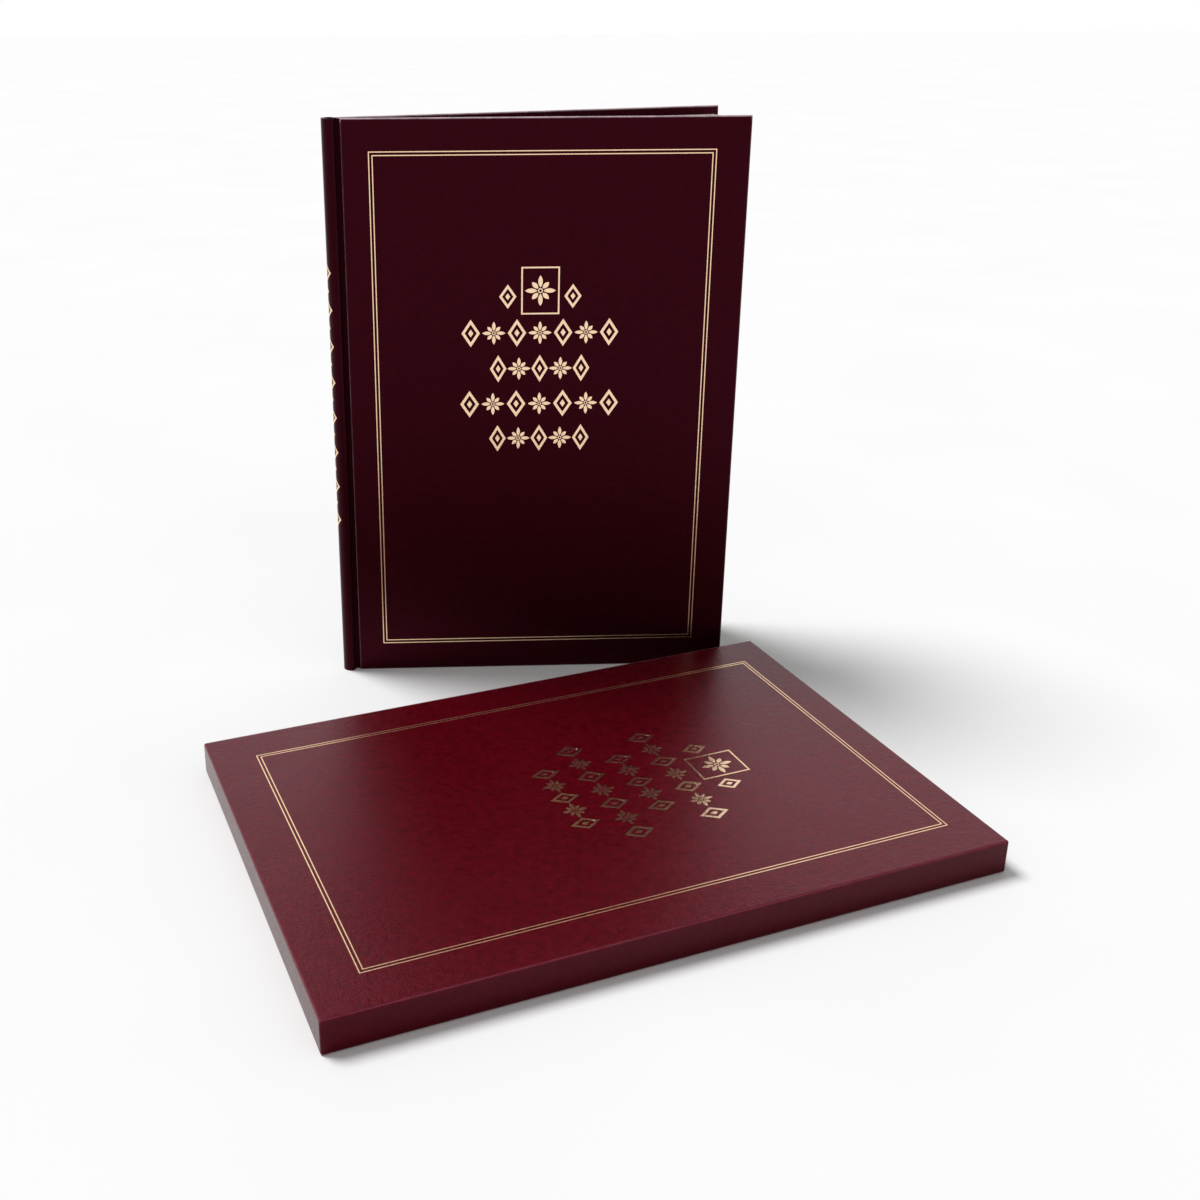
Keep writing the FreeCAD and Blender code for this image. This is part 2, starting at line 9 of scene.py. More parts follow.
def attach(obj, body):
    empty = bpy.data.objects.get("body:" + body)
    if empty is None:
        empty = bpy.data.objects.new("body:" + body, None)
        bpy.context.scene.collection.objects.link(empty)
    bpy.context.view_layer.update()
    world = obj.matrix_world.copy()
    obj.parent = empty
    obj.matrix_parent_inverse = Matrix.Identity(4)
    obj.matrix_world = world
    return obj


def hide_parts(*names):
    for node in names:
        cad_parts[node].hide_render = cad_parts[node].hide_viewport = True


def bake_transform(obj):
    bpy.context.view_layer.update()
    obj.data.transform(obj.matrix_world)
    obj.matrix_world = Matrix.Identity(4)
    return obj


# A case-bound stamp album standing a little open, with its slipcase lying in front of it.
# Lengths are in metres, and MM turns a length in millimetres into metres.
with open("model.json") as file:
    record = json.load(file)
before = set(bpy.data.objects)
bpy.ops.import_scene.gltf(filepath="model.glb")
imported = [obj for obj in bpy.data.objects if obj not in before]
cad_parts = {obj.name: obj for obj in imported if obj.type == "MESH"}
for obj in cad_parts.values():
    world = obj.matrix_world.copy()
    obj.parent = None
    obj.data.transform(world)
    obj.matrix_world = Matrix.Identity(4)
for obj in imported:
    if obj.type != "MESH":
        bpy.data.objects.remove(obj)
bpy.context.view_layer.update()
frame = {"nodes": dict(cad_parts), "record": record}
nodes = frame["nodes"]
record = frame["record"]
joints = {joint["name"]: joint for joint in record["behaviour"]["joints"]}
mounts = {mount["name"]: mount for mount in record["mounts"]}
MM = 0.001
LEAF_COUNT = 8

# Sizes shared with the solids
COVER_FACE = 1.0 * MM
SLIPCASE_TOP = 16.1 * MM
LEAF_FACE = 0.065 * MM
STAMP_BACK = 0.110 * MM
STAMP_FACE = 0.190 * MM
SPINE_RADIUS = 4.326 * MM
SPINE_CENTRE = -3.700 * MM
CLOTH = 0.25 * MM
HINGE_INSET = 0.75 * MM
FOIL = 0.03 * MM
COVER_HALF = Vector((103.2, 1.0, 152.5)) * MM
SLIPCASE_HALF = Vector((156.3, 107.65, 8.05)) * MM

# Worn edges with a painted highlight: their width, and the strength on the lower edges where that on the
# upper ones is 1. The upper edges are lighter because a highlight from above is painted on them, on top of
# the wear.
COVER_WEAR_AND_HIGHLIGHT = 0.8 * MM
SLIPCASE_WEAR_AND_HIGHLIGHT = 0.6 * MM
LOWER_EDGE_WEAR_AND_HIGHLIGHT = 0.15

# Places read from the record
slide = Vector(joints["slipcase_slide"]["axis"])
case_turn = math.atan2(slide.x, -slide.y)
case_foot = Vector(mounts["slipcase_base"]["pos_m"])
front_hinge = Vector(joints["front_joint"]["pos_m"])
back_hinge = Vector(joints["back_joint"]["pos_m"])
spine_turn = math.atan2(front_hinge.x - back_hinge.x, back_hinge.y - front_hinge.y)
back_foot = Vector(mounts["back_tail_edge"]["pos_m"])
back_reach = back_foot - back_hinge
back_turn = math.atan2(back_reach.y, back_reach.x) - math.asin(HINGE_INSET / back_reach.length)


class Shader:
    """A new node material, with short ways to add nodes that read the piece's own coordinates.

    The scales of noise and cells are features per metre, because those coordinates are in metres.
    """

    def __init__(self, name):
        self.material = bpy.data.materials.new(name)
        self.material.use_nodes = True
        self.tree = self.material.node_tree
        self.surface = self.tree.nodes["Principled BSDF"]
        self.place = self.node("ShaderNodeTexCoord").outputs["Object"]

    def node(self, kind):
        return self.tree.nodes.new(kind)

    def link(self, value, socket):
        """Feed a socket from another node, or set it where the value is a plain number."""
        if isinstance(value, (int, float)):
            socket.default_value = value
        else:
            self.tree.links.new(value, socket)

    def feed(self, name, value):
        self.link(value, self.surface.inputs[name])

    def fixed(self, name, value):
        self.surface.inputs[name].default_value = value

    def noise(self, scale, detail=2.0):
        """Smooth noise from 0 to 1."""
        item = self.node("ShaderNodeTexNoise")
        item.inputs["Scale"].default_value = scale
        item.inputs["Detail"].default_value = detail
        self.link(self.place, item.inputs["Vector"])
        return item.outputs["Fac"]

    def cells(self, scale, feature):
        """Distance from the middles or the edges of a pattern of cells."""
        item = self.node("ShaderNodeTexVoronoi")
        item.feature = feature
        item.inputs["Scale"].default_value = scale
        self.link(self.place, item.inputs["Vector"])
        return item.outputs["Distance"]

    def threads(self, scale, direction):
        """Wavy bands across one direction."""
        item = self.node("ShaderNodeTexWave")
        item.bands_direction = direction
        item.inputs["Scale"].default_value = scale
        item.inputs["Distortion"].default_value = 1.2
        self.link(self.place, item.inputs["Vector"])
        return item.outputs["Fac"]

    def ramp(self, value, low, high, start=0.3, stop=0.7):
        """A colour that runs from low to high as the value goes from start to stop."""
        item = self.node("ShaderNodeValToRGB")
        for element, place, colour in zip(item.color_ramp.elements, (start, stop), (low, high)):
            element.position = place
            element.color = (*colour, 1.0)
        self.link(value, item.inputs["Fac"])
        return item.outputs["Color"]

    def spread(self, value, low, high, start=0.0, stop=1.0):
        """A number that runs from low to high as the value goes from start to stop."""
        item = self.node("ShaderNodeMapRange")
        for name, number in (("From Min", start), ("From Max", stop), ("To Min", low), ("To Max", high)):
            item.inputs[name].default_value = number
        self.link(value, item.inputs["Value"])
        return item.outputs["Result"]

    def combine(self, operation, first, second):
        item = self.node("ShaderNodeMath")
        item.operation = operation
        self.link(first, item.inputs[0])
        self.link(second, item.inputs[1])
        return item.outputs["Value"]

    def mix(self, factor, low, high):
        """A blend of two colours, each either fixed or from another node."""
        item = self.node("ShaderNodeMix")
        item.data_type = "RGBA"
        self.link(factor, item.inputs["Factor"])
        for socket, colour in ((item.inputs[6], low), (item.inputs[7], high)):
            if isinstance(colour, tuple):
                socket.default_value = (*colour, 1.0)
            else:
                self.link(colour, socket)
        return item.outputs[2]

    def bump(self, height, strength, depth, normal=None):
        """The surface's direction, tilted by a relief of the given depth."""
        item = self.node("ShaderNodeBump")
        item.inputs["Strength"].default_value = strength
        item.inputs["Distance"].default_value = depth
        self.link(height, item.inputs["Height"])
        if normal is not None:
            self.link(normal, item.inputs["Normal"])
        return item.outputs["Normal"]

    def edge_wear_and_highlight(self, foot, turn, half, reach):
        """A mask of edge wear and painted highlight: one along the upper edges of a box that stands on its
        foot, and less along its other edges, since the painted highlight stands for light from above.
        """
        own = self.node("ShaderNodeMapping")
        own.vector_type = "TEXTURE"
        own.inputs["Location"].default_value = foot + Vector((0, 0, half.z))
        own.inputs["Rotation"].default_value = (0, 0, turn)
        self.link(self.place, own.inputs["Vector"])
        away = self.node("ShaderNodeVectorMath")
        away.operation = "ABSOLUTE"
        self.link(own.outputs["Vector"], away.inputs[0])
        depth = self.node("ShaderNodeVectorMath")
        depth.operation = "SUBTRACT"
        depth.inputs[0].default_value = half
        self.link(away.outputs["Vector"], depth.inputs[1])
        parts = self.node("ShaderNodeSeparateXYZ")
        self.link(depth.outputs["Vector"], parts.inputs["Vector"])
        x, y, z = parts.outputs
        low = self.combine("MINIMUM", x, y)
        high = self.combine("MAXIMUM", x, y)
        second = self.combine("MAXIMUM", low, self.combine("MINIMUM", high, z))
        height = self.node("ShaderNodeSeparateXYZ")
        self.link(own.outputs["Vector"], height.inputs["Vector"])
        # Painted highlight: the upper edges take the full edge colour and the lower ones only a share, as if
        # lit from above.
        upper = self.spread(height.outputs["Z"], LOWER_EDGE_WEAR_AND_HIGHLIGHT, 1.0, half.z - 3 * reach, half.z - reach)
        return self.combine("MULTIPLY", upper, self.spread(second, 1.0, 0.0, 0.25 * reach, reach))


# Leatherette: features per metre, and depths of their relief
PEBBLES = 1150.0
CREASES = 820.0
GRIT = 2600.0
MOTTLE = 380.0
COLOUR_PATCHES = 260.0
WEAR_AND_HIGHLIGHT_PATCHES = 120.0
BOARD_WAVES = 42.0
BOARD_WARP = 11.0
PEBBLE_DEPTH = 0.16 * MM
MOTTLE_DEPTH = 0.38 * MM
WAVE_DEPTH = 0.6 * MM
WARP_DEPTH = 4.0 * MM
BOARD_RELIEF = 0.12


def leatherette(name, dark, light, wear_and_highlight_colour, rough, grain, box=None):
    """Leather-grained book cloth: pebbles, the creases between them, a mottle and the waves of the board.

    The colour runs from dark to light, and along the edges of the box, where one is given, to an edge colour
    that is partly wear and partly a painted highlight, strongest on the upper edges.
    """
    shader = Shader(name)
    pebbles = shader.cells(PEBBLES, "F1")
    creases = shader.cells(CREASES, "DISTANCE_TO_EDGE")
    fine = shader.noise(GRIT)
    slow = shader.noise(BOARD_WAVES, 3.0)
    broad = shader.noise(BOARD_WARP)
    colour = shader.ramp(shader.noise(COLOUR_PATCHES, 4.0), dark, light)
    gloss = shader.combine(
        "ADD", shader.spread(slow, rough - 0.03, rough + 0.05), shader.spread(fine, -0.03, 0.03))
    if box:
        uneven = shader.spread(shader.noise(WEAR_AND_HIGHLIGHT_PATCHES, 4.0), 0.55, 1.0, 0.35, 0.65)
        wear_and_highlight_mask = shader.combine("MULTIPLY", shader.edge_wear_and_highlight(*box), uneven)
        # Edge wear with a painted highlight, strongest along the upper edges.
        colour = shader.mix(wear_and_highlight_mask, colour, wear_and_highlight_colour)
        gloss = shader.combine("ADD", gloss, shader.spread(wear_and_highlight_mask, 0.0, 0.08))
    shader.feed("Base Color", colour)
    shader.feed("Roughness", gloss)
    relief = shader.combine(
        "ADD", shader.spread(pebbles, 1.0, 0.0, 0.0, 0.7), shader.spread(creases, 0.0, 0.7, 0.0, 0.12))
    relief = shader.combine("ADD", relief, shader.spread(fine, 0.0, 0.35))
    warp = shader.bump(broad, BOARD_RELIEF, WARP_DEPTH)
    boards = shader.bump(slow, BOARD_RELIEF, WAVE_DEPTH, warp)
    mottle = shader.bump(shader.noise(MOTTLE, 3.0), grain, MOTTLE_DEPTH, boards)
    shader.feed("Normal", shader.bump(relief, grain, PEBBLE_DEPTH, mottle))
    return shader


def gilt(name, low, high, rough):
    """Blocked metal foil, a little uneven where it took the grain below."""
    shader = Shader(name)
    shader.feed("Base Color", shader.ramp(shader.noise(900.0, 3.0), low, high))
    shader.fixed("Metallic", 1.0)
    shader.feed("Roughness", shader.spread(shader.noise(1500.0), rough - 0.07, rough + 0.07))
    shader.feed("Normal", shader.bump(shader.noise(900.0, 3.0), 0.35, 0.20 * MM))
    return shader.material


def paper(name, low, high, fibre=900.0, rough=0.82):
    """Paper or board: mottled fibres and a soft tooth."""
    shader = Shader(name)
    shader.feed("Base Color", shader.ramp(shader.noise(fibre, 5.0), low, high))
    shader.feed("Roughness", shader.spread(shader.noise(300.0), rough - 0.06, rough + 0.06))
    shader.feed("Normal", shader.bump(shader.noise(fibre * 1.6, 4.0), 0.12, 0.08 * MM))
    shader.fixed("Specular IOR Level", 0.25)
    return shader.material


def woven(name, low, high, scale):
    """Plain weave from two sets of threads."""
    shader = Shader(name)
    height = shader.combine("MAXIMUM", shader.threads(scale, "Z"), shader.threads(scale, "Y"))
    shader.feed("Base Color", shader.ramp(height, low, high, 0.2, 0.9))
    shader.feed("Roughness", shader.spread(height, 0.92, 0.80))
    shader.feed("Normal", shader.bump(height, 0.5, 0.2 * MM))
    return shader.material


def clear_film():
    """Thin clear film with a soft gloss and the slight waves of a heat-sealed strip."""
    shader = Shader("mount_film")
    shader.feed("Base Color", shader.ramp(shader.noise(40.0), (0.90, 0.92, 0.94), (0.97, 0.98, 0.99)))
    shader.feed("Roughness", shader.spread(shader.noise(60.0), 0.08, 0.20))
    shader.feed("Normal", shader.bump(shader.noise(45.0), 0.2, 0.6 * MM))
    shader.fixed("Alpha", 0.14)
    return shader.material


def album_cloth(name, sheen, box=None):
    """The album's dark leatherette, with a red sheen of the given strength."""
    # The light pink edge colour is partly wear and partly a painted highlight along the upper edges.
    shader = leatherette(
        name, (0.0105, 0.0005, 0.0014), (0.0165, 0.0010, 0.0024), (0.80, 0.57, 0.64), 0.29, 0.25, box)
    shader.fixed("Specular IOR Level", sheen)
    shader.fixed("Specular Tint", (1.0, 0.10, 0.22, 1.0))
    return shader.material


def slipcase_cloth(name, sheen, dark, light, box):
    """The slipcase's brighter and glossier leatherette."""
    # The edge colour is partly wear and partly a painted highlight along the upper edges.
    shader = leatherette(name, dark, light, (0.24, 0.075, 0.10), 0.19, 0.36, box)
    shader.fixed("Specular IOR Level", sheen)
    shader.fixed("Specular Tint", (1.0, 0.17, 0.34, 1.0))
    return shader.material


front_cloth = album_cloth("front_leatherette", 0.28, (Vector(), 0.0, COVER_HALF, COVER_WEAR_AND_HIGHLIGHT))
back_cloth = album_cloth("back_leatherette", 0.28, (back_foot, back_turn, COVER_HALF, COVER_WEAR_AND_HIGHLIGHT))
# Copy of the album's leatherette with less sheen: painted shade, darkening the spine against the covers.
spine_cloth = album_cloth("spine_leatherette_shaded", 0.22)
# Copy of the album's leatherette with very little sheen: painted shade, darkening the cloth in the grooves.
groove_cloth = album_cloth("groove_leatherette_shaded", 0.08)
case_edges = (case_foot, case_turn, SLIPCASE_HALF, SLIPCASE_WEAR_AND_HIGHLIGHT)
case_cloth = slipcase_cloth(
    "slipcase_leatherette", 0.42, (0.061, 0.0006, 0.0030), (0.096, 0.0014, 0.0060), case_edges)
# A darker, less glossy copy of the slipcase leatherette for the walls: painted shade, darkening the walls
# against the top.
wall_cloth = slipcase_cloth(
    "slipcase_wall_leatherette_shaded", 0.20, (0.048, 0.0006, 0.0025), (0.066, 0.0012, 0.0042), case_edges)
gold = gilt("gilt_foil", (0.88, 0.60, 0.38), (0.99, 0.75, 0.52), 0.21)
rule_gold = gilt("rule_foil", (0.90, 0.60, 0.36), (1.0, 0.76, 0.50), 0.30)
leaf_paper = paper("album_paper", (0.74, 0.72, 0.65), (0.82, 0.80, 0.74))
end_paper = paper("endpaper", (0.66, 0.61, 0.51), (0.75, 0.70, 0.60), 700.0)
guard_paper = paper("guard_paper", (0.64, 0.60, 0.51), (0.73, 0.69, 0.60))
grey_board = paper("greyboard", (0.26, 0.245, 0.22), (0.40, 0.38, 0.34), 420.0, 0.9)
spine_card = paper("spine_card", (0.42, 0.34, 0.24), (0.55, 0.46, 0.34), 520.0, 0.9)
case_paper = paper("slipcase_paper", (0.10, 0.012, 0.016), (0.15, 0.020, 0.026), 650.0, 0.8)
stamp_paper = paper("stamp_paper", (0.80, 0.78, 0.72), (0.87, 0.85, 0.80), 1400.0, 0.6)
red_ink = paper("red_ink", (0.24, 0.020, 0.026), (0.34, 0.040, 0.045), 1500.0, 0.7)
grey_ink = paper("grey_ink", (0.22, 0.21, 0.20), (0.32, 0.31, 0.30), 1500.0, 0.75)
blue_ink = paper("blue_ink", (0.045, 0.12, 0.26), (0.075, 0.18, 0.36), 1500.0, 0.6)
green_ink = paper("green_ink", (0.060, 0.17, 0.075), (0.10, 0.25, 0.11), 1500.0, 0.6)
ochre_ink = paper("ochre_ink", (0.48, 0.27, 0.055), (0.60, 0.37, 0.09), 1500.0, 0.6)
pale_ink = paper("pale_ink", (0.62, 0.58, 0.44), (0.72, 0.68, 0.54), 1500.0, 0.6)
mull = woven("spine_mull", (0.55, 0.50, 0.40), (0.80, 0.76, 0.66), 420.0)
band_cloth = woven("band_cloth", (0.28, 0.02, 0.03), (0.72, 0.62, 0.45), 300.0)
linen = woven("linen_thread", (0.62, 0.57, 0.46), (0.84, 0.80, 0.70), 900.0)
film = clear_film()


def dress(material, *names):
    """Give CAD nodes their material."""
    for name in names:
        slots = nodes[name].data.materials
        slots.clear()
        slots.append(material)


numbers = range(1, LEAF_COUNT + 1)
dress(front_cloth, "front_cover_cloth")
dress(back_cloth, "back_cover_cloth")
dress(spine_cloth, "spine_cloth")
dress(case_cloth, "slipcase_top_cloth", "slipcase_base_cloth")
dress(wall_cloth, "slipcase_wall_cloth")
dress(rule_gold, "front_foil", "slipcase_foil")
slipcase_boards = ["slipcase_%s_board" % side for side in ("top", "base", "wall", "head", "tail")]
dress(grey_board, "front_board", "back_board", *slipcase_boards)
dress(end_paper, "front_pastedown", "back_pastedown", "front_flyleaf", "back_flyleaf")
dress(case_paper, "slipcase_top_lining", "slipcase_base_lining", "slipcase_wall_lining")
dress(spine_card, "spine_strip")
dress(mull, "spine_lining")
dress(guard_paper, "guard_strips")
dress(linen, "sewing_thread")
dress(band_cloth, "head_band", "tail_band")
dress(leaf_paper, "leaf_stubs", *["leaf_%d" % number for number in numbers])
dress(film, *["mounts_%d" % number for number in numbers])
dress(stamp_paper, *["stamps_%d" % number for number in numbers])


# Outlines. Each is a closed loop of points in a plane, and a loop inside another is a hole in it.
def rectangle(x, y, width, height):
    return [(x + i * width / 2, y + j * height / 2) for i, j in ((-1, -1), (1, -1), (1, 1), (-1, 1))]


def lozenge(x, y, width, height):
    return [(x - width / 2, y), (x, y - height / 2), (x + width / 2, y), (x, y + height / 2)]


def circle(x, y, radius, count=28):
    angles = [2 * math.pi * k / count for k in range(count)]
    return [(x + radius * math.cos(a), y + radius * math.sin(a)) for a in angles]


def petal(x, y, angle, near, far, width, count=9):
    """A pointed leaf shape that lies along one direction."""
    points = []
    for side, steps in ((1, range(count)), (-1, range(count, 0, -1))):
        for k in steps:
            reach = near + (far - near) * k / count
            swell = side * width / 2 * math.sin(math.pi * k / count) ** 0.8
            points.append((
                x + reach * math.cos(angle) - swell * math.sin(angle),
                y + reach * math.sin(angle) + swell * math.cos(angle)))
    return points


def perforated(x, y, width, height, pitch, bite=0.3, steps=4):
    """A rectangle whose edges have half-round bites, with a radius of the given share of their pitch."""
    points = []
    corners = rectangle(x, y, width, height)
    for (x0, y0), (x1, y1) in zip(corners, corners[1:] + corners[:1]):
        length = math.hypot(x1 - x0, y1 - y0)
        dx, dy = (x1 - x0) / length, (y1 - y0) / length
        count = round(length / pitch)
        step = length / count
        radius = step * bite
        points.append((x0, y0))
        for k in range(count):
            for j in range(steps + 1):
                angle = math.pi * j / steps
                along = step * (k + 0.5) - radius * math.cos(angle)
                deep = radius * math.sin(angle)
                points.append((x0 + dx * along - dy * deep, y0 + dy * along + dx * deep))
    return points


def plate(loops, low, high):
    """A flat solid with the loops' outline, from one level to another."""
    curve = bpy.data.curves.new("outline", "CURVE")
    curve.dimensions = "2D"
    curve.fill_mode = "BOTH"
    curve.extrude = (high - low) / 2
    for loop in loops:
        spline = curve.splines.new("POLY")
        spline.points.add(len(loop) - 1)
        for point, (x, y) in zip(spline.points, loop):
            point.co = (x, y, 0.0, 1.0)
        spline.use_cyclic_u = True
    holder = bpy.data.objects.new("outline", curve)
    bpy.context.scene.collection.objects.link(holder)
    bpy.context.view_layer.update()
    mesh = bpy.data.meshes.new_from_object(holder.evaluated_get(bpy.context.evaluated_depsgraph_get()))
    bpy.data.objects.remove(holder)
    bpy.data.curves.remove(curve)
    mesh.transform(Matrix.Translation((0, 0, (low + high) / 2)))
    return mesh


def piece(name, body, place, layers):
    """One new piece made of flat layers: material, loops, low level, high level."""
    joined = bmesh.new()
    mesh = bpy.data.meshes.new(name)
    for index, (material, loops, low, high) in enumerate(layers):
        layer = plate(loops, low, high)
        start = len(joined.faces)
        joined.from_mesh(layer)
        joined.faces.ensure_lookup_table()
        for face in joined.faces[start:]:
            face.material_index = index
        bpy.data.meshes.remove(layer)
        mesh.materials.append(material)
    bmesh.ops.remove_doubles(joined, verts=joined.verts[:], dist=1e-7)
    joined.to_mesh(mesh)
    joined.free()
    item = bpy.data.objects.new(name, mesh)
    bpy.context.scene.collection.objects.link(item)
    item.matrix_world = place
    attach(item, body)
    return item


# Gilt devices on the cover and the slipcase: a framed flower between two lozenges, over four rows of ornament
ROW_HEIGHT = 16.0 * MM
ROW_PITCH = 19.3 * MM
ORNAMENT_ROWS = [(85.0 * MM, 7), (55.0 * MM, 5), (87.0 * MM, 7), (56.0 * MM, 5)]
FRAME_WIDTH = 20.0 * MM
FRAME_HEIGHT = 25.0 * MM
FRAME_RULE = 0.8 * MM
FRAME_RISE = 3.0 * MM
FRAME_FLOWER = 8.0 * MM
SIDE_LOZENGE = (9.0 * MM, 12.8 * MM)
SIDE_REACH = 17.0 * MM
DEVICE_ON_COVER = Vector((-2.4, 0.0, 176.0)) * MM
DEVICE_ON_SLIPCASE = Vector((28.0, -3.6, 0.0)) * MM

# Shares of an ornament's own size, or of its place in a row
DIAMOND_LOOPS = (1.0, 0.66, 0.28)
FLOWER_RING = (0.16, 0.09)
PETAL_START = 0.20
PETAL_WIDTH = 0.30
SHORT_PETAL = 0.78
ROW_LOZENGE_WIDTH = 0.80
ROW_LOZENGE_HEIGHT = 0.92
ROW_FLOWER = 0.38


def diamond(x, y, width, height):
    """A lozenge ring round a small lozenge."""
    return [lozenge(x, y, width * share, height * share) for share in DIAMOND_LOOPS]


def flower(x, y, reach, count=8):
    """A rosette of long and short petals round a ring."""
    loops = [circle(x, y, reach * share) for share in FLOWER_RING]
    for k in range(count):
        angle = 2 * math.pi * k / count + math.pi / 2
        far = reach if k % 2 == 0 else reach * SHORT_PETAL
        loops.append(petal(x, y, angle, reach * PETAL_START, far, reach * PETAL_WIDTH))
    return loops


def gilt_device():
    """The framed flower and the four rows below it, with the second of those rows on the origin."""
    top = 2 * ROW_PITCH
    middle = (0.0, top + FRAME_RISE)
    loops = [rectangle(*middle, FRAME_WIDTH, FRAME_HEIGHT),
             rectangle(*middle, FRAME_WIDTH - 2 * FRAME_RULE, FRAME_HEIGHT - 2 * FRAME_RULE)]
    loops += flower(*middle, FRAME_FLOWER)
    for side in (-1, 1):
        loops += diamond(side * SIDE_REACH, top, *SIDE_LOZENGE)
    for row, (width, count) in enumerate(ORNAMENT_ROWS, start=1):
        y = top - row * ROW_PITCH
        pitch = width / count
        for k in range(count):
            x = (k - (count - 1) / 2) * pitch
            if k % 2 == 0:
                loops += diamond(x, y, pitch * ROW_LOZENGE_WIDTH, ROW_HEIGHT * ROW_LOZENGE_HEIGHT)
            else:
                loops += flower(x, y, ROW_HEIGHT * ROW_FLOWER)
    return loops


UPRIGHT = Matrix(((1, 0, 0, 0), (0, 0, -1, 0), (0, 1, 0, 0), (0, 0, 0, 1)))
device_place = Matrix.Translation(DEVICE_ON_COVER) @ UPRIGHT
piece("front_gilt_device", "front_cover", device_place,
      [(gold, gilt_device(), COVER_FACE, COVER_FACE + FOIL)])

case_middle = Matrix.Translation(case_foot) @ Matrix.Rotation(case_turn, 4, "Z")
quarter_turn = Matrix.Rotation(-math.pi / 2, 4, "Z")
case_device_place = case_middle @ Matrix.Translation(DEVICE_ON_SLIPCASE) @ quarter_turn
piece("slipcase_gilt_device", "slipcase", case_device_place,
      [(gold, gilt_device(), SLIPCASE_TOP, SLIPCASE_TOP + FOIL)])


# Spine device: a column of lozenges bent round the back of the spine.
# The spine's own frame has its origin between the two hinge lines and X towards the fore edge.
# The foil is thicker here, so that its facets clear the round of the cloth.
spine_place = Matrix.Translation((front_hinge + back_hinge) / 2) @ Matrix.Rotation(spine_turn, 4, "Z")
SPINE_FOIL = 1.5 * FOIL
BEND_CUTS = 5
COLUMN_FOOT = 92.0 * MM
COLUMN_HEAD = 228.0 * MM
COLUMN_COUNT = 15
LARGE_LOZENGE = (10.0 * MM, 7.6 * MM)
SMALL_LOZENGE = (4.4 * MM, 3.6 * MM)


def spine_loops():
    """Large and small lozenges by turns, along X."""
    loops = []
    for k in range(COLUMN_COUNT):
        along = COLUMN_FOOT + (COLUMN_HEAD - COLUMN_FOOT) * k / (COLUMN_COUNT - 1)
        if k % 2 == 0:
            loops += diamond(along, 0, *LARGE_LOZENGE)
        else:
            loops.append(lozenge(along, 0, *SMALL_LOZENGE))
    return loops


def bend_round_spine(item):
    """Turn the flat column, whose X is up the spine, onto the round of the spine."""
    bent = bmesh.new()
    bent.from_mesh(item.data)
    bmesh.ops.subdivide_edges(bent, edges=bent.edges[:], cuts=BEND_CUTS, use_grid_fill=True)
    for vert in bent.verts:
        angle = vert.co.y / SPINE_RADIUS
        radius = SPINE_RADIUS + vert.co.z
        vert.co = Vector((SPINE_CENTRE - radius * math.cos(angle), radius * math.sin(angle), vert.co.x))
    bmesh.ops.recalc_face_normals(bent, faces=bent.faces[:])
    bent.to_mesh(item.data)
    bent.free()


spine_device = piece("spine_gilt_device", "spine", spine_place,
                     [(gold, spine_loops(), 0.0, SPINE_FOIL)])
bend_round_spine(spine_device)


# Joints: the leatherette in each groove and the endpaper behind it run on across the hinge line.
# A strip's span is across the hinge line, its layers are its two faces and its ends are heights.
FOLD = 0.6 * MM
STRIP_COLUMNS = 12
GROOVE_SPAN = (-1.38 * MM, 1.24 * MM)
GROOVE_LAYERS = (0.005 * MM, 0.035 * MM)
GROOVE_ENDS = (0.3 * MM, 304.7 * MM)
PAPER_SPAN = (-1.30 * MM, 1.95 * MM)
PAPER_LAYERS = (-CLOTH - 0.06 * MM, -CLOTH - 0.01 * MM)
PAPER_ENDS = (5.5 * MM, 299.5 * MM)


def joint_strip(name, material, hinge, turn, side, span, layers, ends):
    """A thin strip across one hinge line, bent as the cover stands."""
    near, far = span
    steps = [near + (far - near) * k / STRIP_COLUMNS for k in range(STRIP_COLUMNS + 1)]

    def point(step, level, height):
        share = min(max((step + FOLD) / (2 * FOLD), 0.0), 1.0)
        angle = spine_turn + (turn - spine_turn) * share * share * (3 - 2 * share)
        return hinge + Matrix.Rotation(angle, 3, "Z") @ Vector((step, side * level, height))

    strip = bmesh.new()
    rows = [[strip.verts.new(point(step, level, height)) for step in steps]
            for level in layers for height in ends]
    low_foot, low_head, high_foot, high_head = rows
    ring = [low_foot, low_head, high_head, high_foot]
    for first, second in zip(ring, ring[1:] + ring[:1]):
        for k in range(STRIP_COLUMNS):
            strip.faces.new((first[k], first[k + 1], second[k + 1], second[k]))
    for k in (0, STRIP_COLUMNS):
        strip.faces.new((low_foot[k], low_head[k], high_head[k], high_foot[k]))
    bmesh.ops.recalc_face_normals(strip, faces=strip.faces[:])
    mesh = bpy.data.meshes.new(name)
    strip.to_mesh(mesh)
    strip.free()
    mesh.materials.append(material)
    item = bpy.data.objects.new(name, mesh)
    bpy.context.scene.collection.objects.link(item)
    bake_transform(item)


for name, hinge, turn, side in (("front", front_hinge, 0.0, -1), ("back", back_hinge, back_turn, 1)):
    joint_strip(name + "_groove_cloth", groove_cloth, hinge, turn, side,
                GROOVE_SPAN, GROOVE_LAYERS, GROOVE_ENDS)
    joint_strip(name + "_joint_paper", end_paper, hinge, turn, side,
                PAPER_SPAN, PAPER_LAYERS, PAPER_ENDS)


# Pages
def leaf_frame(number):
    """A leaf's own frame: X from its crease to its fore edge, Y up and Z out of its printed face."""
    crease = Vector(joints["leaf_%d_turn" % number]["pos_m"])
    corners = [vert.co for vert in nodes["leaf_%d" % number].data.vertices]
    reach = sum(corners, Vector()) / len(corners) - crease
    return Matrix.Translation(crease) @ Matrix.Rotation(math.atan2(reach.y, reach.x), 4, "Z") @ UPRIGHT


